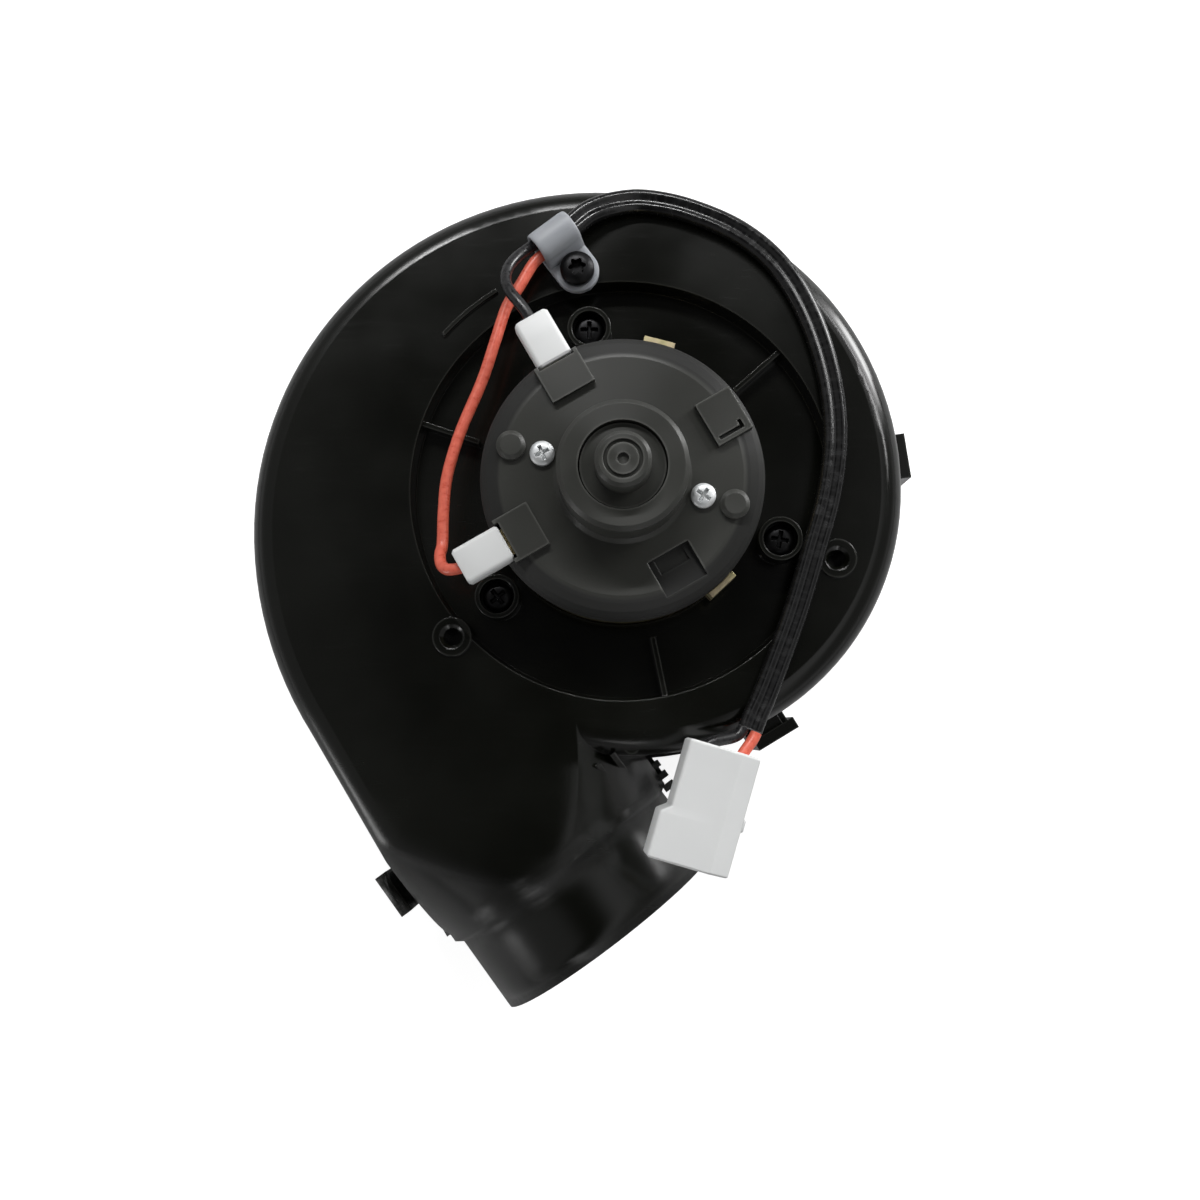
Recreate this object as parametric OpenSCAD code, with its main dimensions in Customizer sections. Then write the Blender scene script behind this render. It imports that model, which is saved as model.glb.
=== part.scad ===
// Centrifugal snail blower with a brushed DC motor, motor side up, sizes in millimetres.
// The motor axis is Z, the inlet face is z = 0, and the outlet leaves to lower right of -Y.

/* [Scroll housing] */
// Depth of the closed scroll from front face to rear face
scroll_depth = 64; // [60:1:76]
// Radius of the first quarter of the scroll wall
scroll_r = 61.8; // [60:0.2:68]
// Growth of the scroll radius at each quarter turn
scroll_growth = 8.7; // [7.5:0.1:10]
// Wall thickness of both halves
wall = 2.2; // [1.8:0.1:3]
// Rounding of the front and rear shoulders
shoulder_r = 6; // [4:0.5:8]
// Stand-out of the lip along the parting line
lip_out = 1.2; // [0.8:0.1:2]
// Radius of the inlet throat
inlet_r = 42; // [38:0.5:44]

/* [Outlet] */
// Direction of the outlet, turned from -Y towards +X
outlet_angle = 36.5; // [34:0.5:39]
// Outside diameter of the hose spigot
spigot_d = 60; // [56:0.5:62]
// Length of the hose spigot past its collar
spigot_len = 19; // [15:1:30]
// Wall of the spigot
spigot_wall = 2; // [1.6:0.1:3]
// Radial step from spigot to collar
collar_step = 1.7; // [1.2:0.1:2.2]

/* [Motor seat] */
// Radius of the round recess in the rear face
recess_r = 47.7; // [46:0.1:50]
// Depth of that recess
recess_depth = 5; // [3:0.5:6]
// Pitch radius of the three motor screws
motor_screw_pcr = 37.6; // [37:0.1:39]
// Pitch radius of the three mounting holes
mount_pcr = 51.2; // [50:0.1:54]
// Angle of the first screw and mounting hole
screw_angle = 101.5; // [98:0.5:105]
// Diameter of the mounting pilot holes
pilot_d = 3.8; // [3:0.1:4.4]

/* [Motor] */
// Outside diameter of the steel can
can_d = 61; // [58:0.5:62]
// Wall of the steel can
can_wall = 1.2; // [0.8:0.1:1.6]
// Diameter of the motor shaft
shaft_d = 8; // [6:0.5:9]
// Diameter of the bearing boss on the end cap
boss_d = 28; // [26:0.5:32]
// Height of the bearing boss above the end cap
boss_h = 12; // [10:0.5:15]
// Angle of the brush axis
brush_angle = 165; // [160:1:170]

/* [Fan wheel] */
// Number of blades
blade_count = 36; // [28:1:42]
// Outside diameter of the wheel
wheel_d = 104; // [98:1:106]
// Radial depth of the blades
blade_depth = 8.5; // [7:0.5:9]
// Thickness of a blade
blade_t = 1.1; // [0.8:0.1:1.4]

/* [Wiring] */
// Diameter of a single lead
lead_d = 2.6; // [2:0.1:3]
// Thickness of the sleeved twin cable
cable_t = 2.8; // [2.4:0.1:3.2]
// Width of the two-way plug
plug_w = 16.5; // [15:0.5:19]
// Length of the two-way plug
plug_len = 27; // [24:0.5:30]
// Thickness of the two-way plug
plug_t = 10; // [9:0.5:12]

/* [Hidden] */
$fn = 72;

// Scroll: four quarter arcs on the corners of a square, each radius one growth step larger.
mid = scroll_depth / 2;
sq = [-1.65, -3.15];
hs = scroll_growth / 2;
arc_c = [sq + [hs, hs], sq + [-hs, hs], sq + [-hs, -hs], sq + [hs, -hs]];
arc_r = [for (k = [0:3]) scroll_r + k * scroll_growth];
// The outlet's flank opens a little against the outlet direction, as a diffuser does.
flank_angle = outlet_angle - 5.3;
// How far the first arc runs on into the outlet.
tongue_run = 18;
// Angle at which the flank leaves the last arc.
flank_cross = 2;
arc_a = [-90, 0, 90, 180];
arc_sweep = [90, 90, 90, flank_angle + flank_cross + 4];

// The scroll pieces are built this much too tall and then cut by shared planes.
trim = 0.02;

// Outlet: local x runs along the outlet, local y to its right, seen from the motor.
out_turn = outlet_angle - 90;
out_left = [-cos(outlet_angle), -sin(outlet_angle)];
out_dir = [sin(outlet_angle), -cos(outlet_angle)];
spigot_r = spigot_d / 2;
collar_r = spigot_r + collar_step;
duct_x1 = 59;
collar_len = 3;
spigot_x1 = duct_x1 + collar_len + spigot_len;
// Flank line at the end of the duct gives the place of the round outlet.
flank_foot = arc_c[3] - arc_r[3] * cos(flank_cross) * [cos(flank_angle), sin(flank_angle)];
flank_n = flank_foot * out_left + (duct_x1 - flank_foot * out_dir) * tan(outlet_angle - flank_angle);
out_n = flank_n - collar_r;
duct_right = out_n - collar_r;
// Slope of the cone that rounds the duct towards the collar.
cone_slope = 0.36;
// The tongue stands where the first arc crosses the right wall of the outlet.
tongue_n = arc_c[0] * out_left;
tongue_y = duct_right + wall - tongue_n;
tongue_x = arc_c[0] * out_dir + sqrt(pow(scroll_r - wall, 2) - pow(tongue_y, 2)) + wall * 0.4;

// Heights along the motor axis.
floor_z = scroll_depth - recess_depth;
under_z = floor_z - wall;
flange_t = 2;
can_r = can_d / 2;
core_h = 22;
can_z1 = scroll_depth + 7;
// The can is as long as its armature core and the room for windings and brushes need.
can_z0 = can_z1 - core_h - 19;
cap_r = can_r + 0.7;
cap_z = can_z1 + 8;
boss_z = cap_z + boss_h;
knob_z = boss_z + 6;
shaft_r = shaft_d / 2;
bearing_r = shaft_r + 3;
run = 0.05;
wheel_z0 = 9;
wheel_z1 = under_z - flange_t - 3;
wheel_r = wheel_d / 2;
plate_z = can_z0 - 10;
hub_z0 = plate_z - 7;
wheel_clip_z = hub_z0 - 1.4;
shaft_z0 = wheel_clip_z - 1.1;
knob_r = 5.9;
cap_screw_r = boss_d / 2 + 4;
hood_a = [30, 120, 210, 300];
term_a = [120, 210];
sleeve_len = 11.3;
hood_r1 = can_r - 1;
hood_z = cap_z + 1.6;
term_z = cap_z - 1.2;
tab_a = [75, 313];
trio = [screw_angle, screw_angle + 120, screw_angle + 240];
boss_top = scroll_depth + 2;
seat_z = scroll_depth - 2;
clip_turn = 127;
clip_z = scroll_depth + 0.6;
clip_in = cable_t + 0.25;
clip_t = 0.9;
clip_w = 10;
clip_x = 8.6;
clip_at = mount_pcr * [cos(screw_angle), sin(screw_angle)];
face = scroll_depth + 0.15;

// Small helpers.
module arc_at(k, a) {
    translate([arc_c[k][0], arc_c[k][1], 0]) rotate([0, 0, a]) translate([arc_r[k], 0, 0]) children();
}
module polar(r, a) {
    rotate([0, 0, a]) translate([r, 0, 0]) children();
}
module tube(r1, r0, h) {
    difference() {
        cylinder(r = r1, h = h);
        translate([0, 0, -1]) cylinder(r = r0, h = h + 2);
    }
}
module block(x0, x1, w, z0, z1) {
    translate([x0, -w / 2, z0]) cube([x1 - x0, w, z1 - z0]);
}
module round_rect(x, y, r) {
    translate([r, 0]) square([x - 2 * r, y]);
    translate([0, r]) square([x, y - 2 * r]);
    for (i = [r, x - r], j = [r, y - r]) translate([i, j]) circle(r = r);
}

// Swept wire: smooth route through given points, one ring of section points at each step.
function cat(a, b, c, d, t) =
    0.5 * (2 * b + (c - a) * t + (2 * a - 5 * b + 4 * c - d) * t * t + (3 * b - a - 3 * c + d) * t * t * t);
function pick(P, i) = P[max(0, min(len(P) - 1, i))];
function smooth(P, n) = concat(
    [for (i = [0:len(P) - 2], k = [0:n - 1]) cat(pick(P, i - 1), P[i], P[i + 1], pick(P, i + 2), k / n)],
    [P[len(P) - 1]]);
function unit(v) = v / norm(v);
function heading(R, i) = unit(pick(R, i + 1) - pick(R, i - 1));
function ring(R, i, S, up) =
    let (t = heading(R, i), s = unit(cross(up, t)), u = cross(t, s)) [for (q = S) R[i] + q[0] * s + q[1] * u];
function round_section(r, n) = [for (k = [0:n - 1]) r * [cos(k * 360 / n), sin(k * 360 / n)]];
function twin_section(t) = concat(
    [for (a = [-60:30:60]) [t / 2, 0] + t / 2 * [cos(a), sin(a)]],
    [for (a = [120:30:240]) [-t / 2, 0] + t / 2 * [cos(a), sin(a)]]);
module sweep(R, S, up) {
    m = len(S);
    n = len(R);
    polyhedron(
        [for (i = [0:n - 1]) each ring(R, i, S, up)],
        concat(
            [[for (k = [0:m - 1]) m - 1 - k]],
            [for (i = [0:n - 2], k = [0:m - 1]) each [
                [i * m + k, i * m + (k + 1) % m, (i + 1) * m + (k + 1) % m],
                [i * m + k, (i + 1) * m + (k + 1) % m, (i + 1) * m + k]]],
            [[for (k = [0:m - 1]) (n - 1) * m + k]]),
        convexity = 6);
}

// Scroll solid, inset o from the outer skin: four sectors, the middle block and the duct.
module sector_profile(r, o) {
    f = shoulder_r - o;
    h = scroll_depth - 2 * o + 2 * trim;
    translate([0, o - trim]) {
        square([r - f, h]);
        translate([0, f]) square([r, h - 2 * f]);
        intersection() {
            square([r, h]);
            for (z = [f, h - f]) translate([r - f, z]) circle(r = f);
        }
    }
}
module across(x0, x1) {
    translate([x0, 0, 0]) rotate([90, 0, 90]) linear_extrude(x1 - x0) children();
}
module duct_solid(o) {
    // Prism with rounded shoulders along the flank, stopped at the right wall, rounded by a cone.
    intersection() {
        translate([arc_c[3][0], arc_c[3][1], o - trim])
            rotate([0, 0, flank_angle - 90])
                across(0, 100)
                    translate([(o - arc_r[3]) * cos(flank_cross), 0])
                        round_rect(arc_r[3] - o - 8, scroll_depth - 2 * o + 2 * trim, shoulder_r - o);
        outlet_frame() translate([-60, -200, -50])
            cube([60 + duct_x1 + (o > 0 ? 0.5 : 0), 200 - duct_right - o, 200]);
        outlet_frame() translate([duct_x1 - 90, -out_n, mid]) rotate([0, 90, 0])
            cylinder(r1 = collar_r - o + 90 * cone_slope, r2 = collar_r - o - cone_slope, h = 91);
    }
}
module outlet_frame() {
    rotate([0, 0, out_turn]) children();
}
module scroll_solid(o) {
    for (k = [0:3])
        translate([arc_c[k][0], arc_c[k][1], 0])
            rotate([0, 0, arc_a[k]])
                rotate_extrude(angle = arc_sweep[k], $fn = 180) sector_profile(arc_r[k] - o, o);
    translate([arc_c[0][0], arc_c[0][1], 0])
        rotate([0, 0, -90]) mirror([0, 1, 0])
            rotate_extrude(angle = tongue_run, $fn = 180) sector_profile(arc_r[0] - o, o);
    translate([arc_c[2][0], arc_c[2][1], o - trim])
        cube([scroll_growth, scroll_growth, scroll_depth - 2 * o + 2 * trim]);
    duct_solid(o);
    // Wedge between the first arc and the duct, inside both.
    translate([0, 0, o - trim]) linear_extrude(scroll_depth - 2 * o + 2 * trim)
        polygon([arc_c[0], arc_c[1], arc_c[0] - 60 * [cos(flank_angle - 12), sin(flank_angle - 12)],
            arc_c[0] - 50 * [sin(tongue_run - 4), cos(tongue_run - 4)]]);
}
module slab(z0, z1) {
    translate([-200, -200, z0]) cube([400, 400, z1 - z0]);
}
module half_shell(z0, z1, lip0, lip1) {
    difference() {
        union() {
            intersection() {
                scroll_solid(0);
                slab(z0, z1);
            }
            intersection() {
                scroll_solid(-lip_out);
                slab(lip0, lip1);
            }
        }
        intersection() {
            scroll_solid(wall);
            slab(wall, scroll_depth - wall);
        }
    }
}

// Latches along the parting line, one loop on the front half over one catch on the rear half.
module each_latch() {
    arc_at(1, 8) children();
    arc_at(0, -59) children();
    arc_at(2, 93) children();
    outlet_frame() translate([43, 0.6 - flank_n, 0]) rotate([0, 0, -90]) children();
}
module latch_loop() {
    difference() {
        union() {
            block(-1, 6, 11, mid - 11, mid - 2);
            block(3.2, 6, 11, mid - 6, mid + 11);
        }
        block(1, 9, 6.8, mid + 2.6, mid + 8.2);
        translate([6, -6, mid - 11]) rotate([0, -35, 0]) translate([0, 0, -8]) cube([9, 12, 8]);
    }
}
module latch_catch() {
    difference() {
        block(-1, 5.4, 6, mid + 3, mid + 7.8);
        translate([5.4, -4, mid + 7.8]) rotate([0, 50, 0]) translate([-9, 0, 0]) cube([18, 8, 9]);
    }
}

module rear_housing() {
    color([0.03, 0.03, 0.03])
    difference() {
        union() {
            half_shell(mid, scroll_depth, mid, mid + 1.6);
            // Recess pan with its floor under the rear face.
            translate([0, 0, under_z]) cylinder(r = recess_r + wall, h = scroll_depth - under_z - 0.5);
            for (a = trio) {
                polar(motor_screw_pcr, a) translate([0, 0, under_z]) cylinder(r = 5, h = boss_top - under_z);
                polar(mount_pcr, a)
                    translate([0, 0, under_z - 1.6]) cylinder(r = 4.4, h = clip_z - under_z + 1.6);
            }
            // Short raised arc on the rear face.
            rotate([0, 0, 122]) rotate_extrude(angle = 17) translate([54, scroll_depth - 1]) square([1, 1.7]);
            outlet_frame() {
                // Collar and full-round hose spigot.
                translate([duct_x1, -out_n, mid]) rotate([0, 90, 0]) {
                    cylinder(r = collar_r, h = collar_len - 1.2);
                    translate([0, 0, collar_len - 1.2]) cylinder(r1 = collar_r, r2 = spigot_r, h = 1.2);
                    cylinder(r = spigot_r, h = spigot_x1 - duct_x1);
                }
                // Gussets between the scroll wall and the falling duct top.
                for (g = [[41, 10], [37, 7]])
                    translate([47, -g[0], mid + 18])
                        rotate([90, 0, 0]) linear_extrude(1.2) polygon([[0, 0], [0, 12], [g[1], 0]]);
            }
            each_latch() latch_catch();
            // Rounded tongue between scroll and outlet, and three teeth beside the neck.
            outlet_frame() {
                translate([tongue_x, -duct_right - wall * 0.6, mid + 0.1])
                    cylinder(r = wall * 0.8, h = mid - wall - 0.1);
                for (x = [0, 1, 2])
                    translate([duct_x1 - 4 + 3 * x, -duct_right - 1, mid + 1]) cube([1.6, 3, 4]);
            }
        }
        // Recess, its ribs left standing.
        difference() {
            translate([0, 0, floor_z]) cylinder(r1 = recess_r, r2 = recess_r + 0.6, h = recess_depth + 0.01);
            for (a = trio) {
                polar(motor_screw_pcr, a) cylinder(r = 5, h = boss_top);
                rotate([0, 0, a + 60]) block(can_r + 4, recess_r + 2, 1.2, 0, scroll_depth - 1.2);
            }
        }
        // Motor hole, screw holes with counterbores, pilot holes with a lead-in.
        translate([0, 0, under_z - 1]) cylinder(r = can_r + 0.4, h = 30);
        for (a = trio) {
            polar(motor_screw_pcr, a) {
                translate([0, 0, under_z - 1]) cylinder(r = 2.3, h = 30);
                translate([0, 0, seat_z]) cylinder(r = 3.9, h = 30);
            }
            polar(mount_pcr, a) {
                translate([0, 0, under_z]) cylinder(r = pilot_d / 2, h = 30);
                translate([0, 0, clip_z - 0.8]) cylinder(r1 = pilot_d / 2, r2 = pilot_d / 2 + 0.9, h = 0.81);
            }
        }
        // Outlet passage and the room inside the spigot.
        outlet_frame() {
            translate([duct_x1 - 1, -out_n, mid])
                rotate([0, 90, 0]) cylinder(r = spigot_r - spigot_wall, h = spigot_x1);
        }
    }
}

module front_housing() {
    color([0.035, 0.035, 0.035])
    difference() {
        union() {
            half_shell(0, mid, mid - 1.6, mid);
            // Inlet lip that reaches into the wheel side.
            cylinder(r = inlet_r + wall, h = 7);
            each_latch() latch_loop();
            outlet_frame() translate([tongue_x, -duct_right - wall * 0.6, wall])
                cylinder(r = wall * 0.8, h = mid - wall - 0.1);
        }
        translate([0, 0, -1]) cylinder(r = inlet_r, h = 20);
    }
}

module motor_can() {
    color([0.72, 0.62, 0.33])
    difference() {
        union() {
            translate([0, 0, can_z0]) cylinder(r = can_r, h = can_z1 - can_z0);
            translate([0, 0, can_z0 - 6]) cylinder(r = bearing_r + 2, h = 7);
            for (a = tab_a) rotate([0, 0, a]) block(can_r - 0.6, cap_r + 1.3, 7, can_z1 - 5, can_z1 + 3.6);
        }
        translate([0, 0, can_z0 + can_wall]) cylinder(r = can_r - can_wall, h = 60);
        translate([0, 0, can_z1]) cylinder(r = cap_r + 0.2, h = 20);
        translate([0, 0, can_z0 - 5]) cylinder(r = bearing_r, h = 20);
        translate([0, 0, can_z0 - 10]) cylinder(r = shaft_r + 1, h = 20);
        // Cooling windows in the lower end.
        for (a = [0:60:300])
            rotate([0, 0, a + 30]) translate([can_r * 0.62, 0, can_z0 - 1]) cylinder(r = 3.2, h = 4);
    }
}

module motor_flange() {
    color([0.7, 0.7, 0.72])
    translate([0, 0, under_z - flange_t])
        difference() {
            union() {
                cylinder(r = can_r + 3, h = flange_t);
                for (a = trio) polar(motor_screw_pcr, a) cylinder(r = 6, h = flange_t);
            }
            translate([0, 0, -1]) cylinder(r = can_r + run, h = 10);
            for (a = trio) polar(motor_screw_pcr, a) translate([0, 0, -1]) cylinder(r = 2.05, h = 10);
        }
}

module magnets() {
    color([0.22, 0.2, 0.2])
    for (a = [25, 205])
        rotate([0, 0, a]) translate([0, 0, can_z0 + 5])
            rotate_extrude(angle = 130) translate([can_r - can_wall - 6, 0]) square([5.95, core_h + 6]);
}

module front_bearing() {
    color([0.66, 0.5, 0.3])
    translate([0, 0, can_z0 - 5]) tube(bearing_r, shaft_r + run, 8);
}

module cap_profile() {
    polygon([
        [0, can_z1], [cap_r, can_z1], [cap_r, cap_z - 3.4], [cap_r - 0.5, cap_z - 2.2],
        [cap_r - 1.6, cap_z - 1.2], [cap_r - 3.4, cap_z - 0.4], [cap_r - 5, cap_z],
        [boss_d / 2 + 1, cap_z], [boss_d / 2, cap_z + 1], [boss_d / 2, boss_z - 1],
        [boss_d / 2 - 1, boss_z], [0, boss_z]]);
}
module end_cap() {
    color([0.05, 0.05, 0.05])
    difference() {
        union() {
            rotate_extrude() cap_profile();
            translate([0, 0, can_z1 - 4]) cylinder(r = can_r - can_wall - 0.1, h = 5);
            // Three low hoods; the fourth place is an open pocket.
            for (a = [hood_a[0], hood_a[1], hood_a[2]])
                rotate([0, 0, a]) block(can_r - 9.5, hood_r1, 10.4, cap_z - 3, hood_z);
        }
        // Hollow of the cap with two lugs left for the brush holders.
        difference() {
            translate([0, 0, can_z1 - 5]) cylinder(r = can_r - can_wall - 2.4, h = cap_z - 2.6 - can_z1 + 5);
            cylinder(r = bearing_r + 2.4, h = 200);
            for (a = [0, 180]) rotate([0, 0, brush_angle + a]) block(bearing_r, can_r - 9, 7, 0, 200);
        }
        for (a = [0, 180]) rotate([0, 0, brush_angle + a]) block(bearing_r, can_r, 10, 0, can_z1 + 1);
        translate([0, 0, can_z1 - 5]) cylinder(r = bearing_r + 2.5, h = 7);
        translate([0, 0, can_z1]) cylinder(r = bearing_r, h = boss_z - 5 - can_z1);
        // Recess of the boss for the bearing cap.
        translate([0, 0, boss_z - 3]) cylinder(r = 9.4, h = 5);
        // Slots for the spade terminals, and the mouths of the hoods.
        for (a = term_a)
            rotate([0, 0, a]) {
                block(can_r - 8, can_r + 9, 6.5, term_z - 0.5, term_z + 0.5);
                block(can_r - 8, can_r - 6.8, 6.5, cap_z - 10, term_z);
                block(hood_r1 - 1, can_r + 9, 8.6, term_z - 3, term_z + 3);
            }
        // Blind slot of the unused hood, and the pocket with its deeper inner end.
        rotate([0, 0, hood_a[0]]) {
            translate([can_r - 8.5, -4.2, hood_z - 1.6]) cube([6, 0.8, 9]);
            translate([can_r - 3.3, -4.2, hood_z - 1.6]) cube([0.8, 2, 9]);
        }
        rotate([0, 0, hood_a[3]]) {
            block(can_r - 11.2, can_r - 2.8, 10, cap_z - 1.5, cap_z + 9);
            block(can_r - 11.2, can_r - 7.6, 7, cap_z - 2.1, cap_z + 9);
        }
        for (a = [0, 180]) rotate([0, 0, brush_angle + a]) {
            translate([cap_screw_r, 0, can_z1]) cylinder(r = 1.6, h = 30);
            translate([can_r - 5.5, 0, cap_z - 2]) cylinder(r = 2.4, h = 10);
        }
    }
}

module rear_bearing() {
    color([0.66, 0.5, 0.3])
    translate([0, 0, boss_z - 13]) tube(bearing_r, shaft_r + run, 8);
}

module bearing_cap() {
    color([0.06, 0.06, 0.06])
    difference() {
        union() {
            translate([0, 0, boss_z - 3]) cylinder(r = 9.1, h = 1.6);
            translate([0, 0, boss_z - 3]) cylinder(r = knob_r, h = knob_z - boss_z + 2.2);
            translate([0, 0, knob_z - 0.8]) cylinder(r1 = knob_r, r2 = knob_r - 0.8, h = 0.8);
        }
        translate([0, 0, knob_z - 0.6]) tube(knob_r - 1.8, knob_r - 2.6, 2);
        translate([0, 0, knob_z - 0.8]) cylinder(r = 1.2, h = 2);
    }
}

// Brush gear lies under the end cap, across the commutator.
holder_z1 = can_z1 + 1;
brush_in = 9.2;
brush_out = 17.5;
module each_brush() {
    for (a = [0, 180]) rotate([0, 0, brush_angle + a]) children();
}
module brush_holders() {
    color([0.8, 0.66, 0.32])
    each_brush()
        difference() {
            block(brush_in + 1.8, can_r - 7, 8, holder_z1 - 7.6, holder_z1);
            block(brush_in, can_r - 7.8, 6.2, holder_z1 - 6.8, holder_z1 - 0.8);
            translate([cap_screw_r, 0, holder_z1 - 1]) cylinder(r = 1.6, h = 3);
        }
}
module brushes() {
    color([0.14, 0.14, 0.15])
    each_brush() block(brush_in, brush_out, 6, holder_z1 - 6.7, holder_z1 - 1.9);
}
function spring_route(x0, x1, r, turns, n) = [
    for (i = [0:n]) [x0 + (x1 - x0) * i / n, r * cos(360 * turns * i / n), r * sin(360 * turns * i / n)]];
module brush_springs() {
    color([0.6, 0.6, 0.62])
    each_brush()
        translate([0, 0, holder_z1 - 4.3])
            sweep(spring_route(brush_out + 0.3, can_r - 8.2, 1.9, 4, 56), round_section(0.25, 6), [1, 0, 0]);
}

module spade_terminals() {
    color([0.78, 0.74, 0.6])
    for (a = term_a)
        rotate([0, 0, a]) {
            block(can_r - 7.8, can_r + 6.5, 6.3, term_z - 0.4, term_z + 0.4);
            block(can_r - 7.8, can_r - 7, 6.3, cap_z - 6, term_z);
        }
}
sleeve_r0 = hood_r1 - 0.4;
sleeve_r1 = sleeve_r0 + sleeve_len;
module receptacles() {
    color([0.85, 0.72, 0.4])
    for (a = term_a)
        rotate([0, 0, a])
            difference() {
                union() {
                    block(sleeve_r0 + 0.8, can_r + 7, 7, term_z - 0.9, term_z + 0.9);
                    translate([can_r + 6.8, 0, term_z])
                        rotate([0, 90, 0]) cylinder(r = lead_d / 2 + 0.4, h = 1.8);
                }
                block(sleeve_r0, can_r + 6.6, 6.4, term_z - 0.45, term_z + 0.45);
                translate([can_r + 7.1, 0, term_z]) rotate([0, 90, 0]) cylinder(r = lead_d / 2 + 0.06, h = 9);
            }
}
module terminal_sleeves() {
    color([0.92, 0.92, 0.9])
    for (a = term_a)
        rotate([0, 0, a])
            difference() {
                translate([sleeve_r0, -4.1, term_z - 2.8]) rotate([90, 0, 90])
                    linear_extrude(sleeve_len) round_rect(8.2, 5.6, 1, $fn = 32);
                block(sleeve_r0 - 1, can_r + 7.2, 7.1, term_z - 1, term_z + 1);
                translate([can_r + 5, 0, term_z])
                    rotate([0, 90, 0]) cylinder(r = lead_d / 2 + 0.5, h = sleeve_len);
            }
}

module screw_cross(r, z) {
    for (a = [0, 90]) rotate([0, 0, a]) block(-r, r, 0.8, z, z + 3);
}
module cap_screws() {
    color([0.8, 0.8, 0.8])
    each_brush()
        translate([cap_screw_r, 0, 0])
            difference() {
                union() {
                    translate([0, 0, cap_z]) cylinder(r = 2.7, h = 1.2);
                    translate([0, 0, cap_z + 1.2]) cylinder(r1 = 2.7, r2 = 1.9, h = 0.6);
                    translate([0, 0, holder_z1 - 0.8]) cylinder(r = 1.5, h = cap_z - holder_z1 + 1);
                }
                rotate([0, 0, 25]) screw_cross(1.6, cap_z + 0.8);
            }
}
module cap_plugs() {
    color([0.05, 0.05, 0.05])
    each_brush()
        translate([can_r - 5.5, 0, 0]) {
            translate([0, 0, cap_z]) cylinder(r = 3.2, h = 1.1);
            translate([0, 0, cap_z + 1.1]) cylinder(r1 = 3.2, r2 = 2.3, h = 0.7);
            translate([0, 0, cap_z - 1.9]) cylinder(r = 2.3, h = 2);
        }
}
module motor_screws() {
    color([0.25, 0.25, 0.26])
    for (a = trio)
        polar(motor_screw_pcr, a)
            difference() {
                union() {
                    translate([0, 0, seat_z]) cylinder(r = 3.5, h = 2.4);
                    translate([0, 0, under_z - flange_t - 0.6]) cylinder(r = 1.95, h = seat_z - under_z + 3);
                }
                screw_cross(2, seat_z + 1.2);
            }
}

module clip_frame() {
    translate([clip_at[0], clip_at[1], 0]) rotate([0, 0, clip_turn]) children();
}
module clip_band() {
    // Side view of the strap: two flat tails and the loop round the cable.
    difference() {
        union() {
            translate([clip_x, clip_in + clip_t]) circle(r = clip_in + clip_t);
            translate([-clip_w / 2, 0]) square([clip_w / 2 + clip_x, clip_t]);
            translate([-clip_w / 2, clip_t + 0.1]) square([clip_w / 2 + clip_x - 7, clip_t]);
        }
        translate([clip_x, clip_in + clip_t]) circle(r = clip_in);
    }
}
module p_clip() {
    color([0.88, 0.88, 0.86])
    clip_frame()
        translate([0, 0, clip_z])
            difference() {
                intersection() {
                    translate([0, clip_w / 2, 0]) rotate([90, 0, 0]) linear_extrude(clip_w) clip_band();
                    union() {
                        cylinder(r = clip_w / 2, h = 20);
                        block(0, 30, clip_w, -1, 20);
                    }
                }
                translate([0, 0, -1]) cylinder(r = 2.1, h = 20);
            }
}
module p_clip_screw() {
    color([0.08, 0.08, 0.08])
    translate([clip_at[0], clip_at[1], clip_z + 2 * clip_t + 0.1])
        difference() {
            union() {
                cylinder(r = 3.9, h = 1.6);
                translate([0, 0, 1.6]) cylinder(r1 = 3.9, r2 = 2.8, h = 1.2);
                translate([0, 0, -9]) cylinder(r = pilot_d / 2 - 0.05, h = 9.1);
            }
            translate([0, 0, 1]) {
                for (a = [0, 60]) rotate([0, 0, a]) cylinder(r = 1.9, h = 3, $fn = 3);
                cylinder(r = 1.4, h = 3);
            }
        }
}

// Wire routes, chosen by hand from the photograph; heights follow the faces that carry them.
clip_mid = [clip_at[0] + clip_x * cos(clip_turn), clip_at[1] + clip_x * sin(clip_turn)];
clip_dir = [cos(clip_turn - 90), sin(clip_turn - 90)];
wire_z = clip_z + clip_t + cable_t * 0.95;
function clip_spot(along, side) = [
    clip_mid[0] + along * clip_dir[0] + side * clip_dir[1],
    clip_mid[1] + along * clip_dir[1] - side * clip_dir[0], wire_z];
function term_spot(a, out) = [(can_r + out) * cos(a), (can_r + out) * sin(a), term_z];
red_route = [
    term_spot(term_a[1], 7.2), term_spot(term_a[1], 8.9), [-36.5, -20.3, term_z - 0.3],
    [-38.3, -20.1, term_z - 1.3], [-39.5, -18.9, term_z - 2.5], [-40, -16.6, term_z - 4.1],
    [-39.7, -13.8, term_z - 5.6], [-39.6, -6.7, term_z - 6], [-38.9, 1.4, term_z - 6.3],
    [-36.1, 11.4, term_z - 6.6], [-31.4, 23.2, term_z - 7.1], [-28.4, 33.1, term_z - 7.7],
    [-26.1, 40.6, term_z - 8.3], [-23.1, 45.9, term_z - 8.8], [-20.1, 51.1, term_z - 9.2],
    clip_spot(-3, cable_t / 2), clip_spot(0, cable_t / 2)];
black_route = [
    term_spot(term_a[0], 7.2), term_spot(term_a[0], 9.2), [-21.3, 36.9, term_z - 0.1],
    [-23, 39.3, term_z - 0.6], [-24.9, 42, term_z - 1.7], [-26, 45, term_z - 3.3],
    [-25.7, 48.4, term_z - 5.2], [-23.9, 51.6, term_z - 7.1], [-21.3, 54.3, term_z - 8.6],
    clip_spot(-3, -cable_t / 2), clip_spot(0, -cable_t / 2)];
low = face + cable_t / 2;
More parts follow.
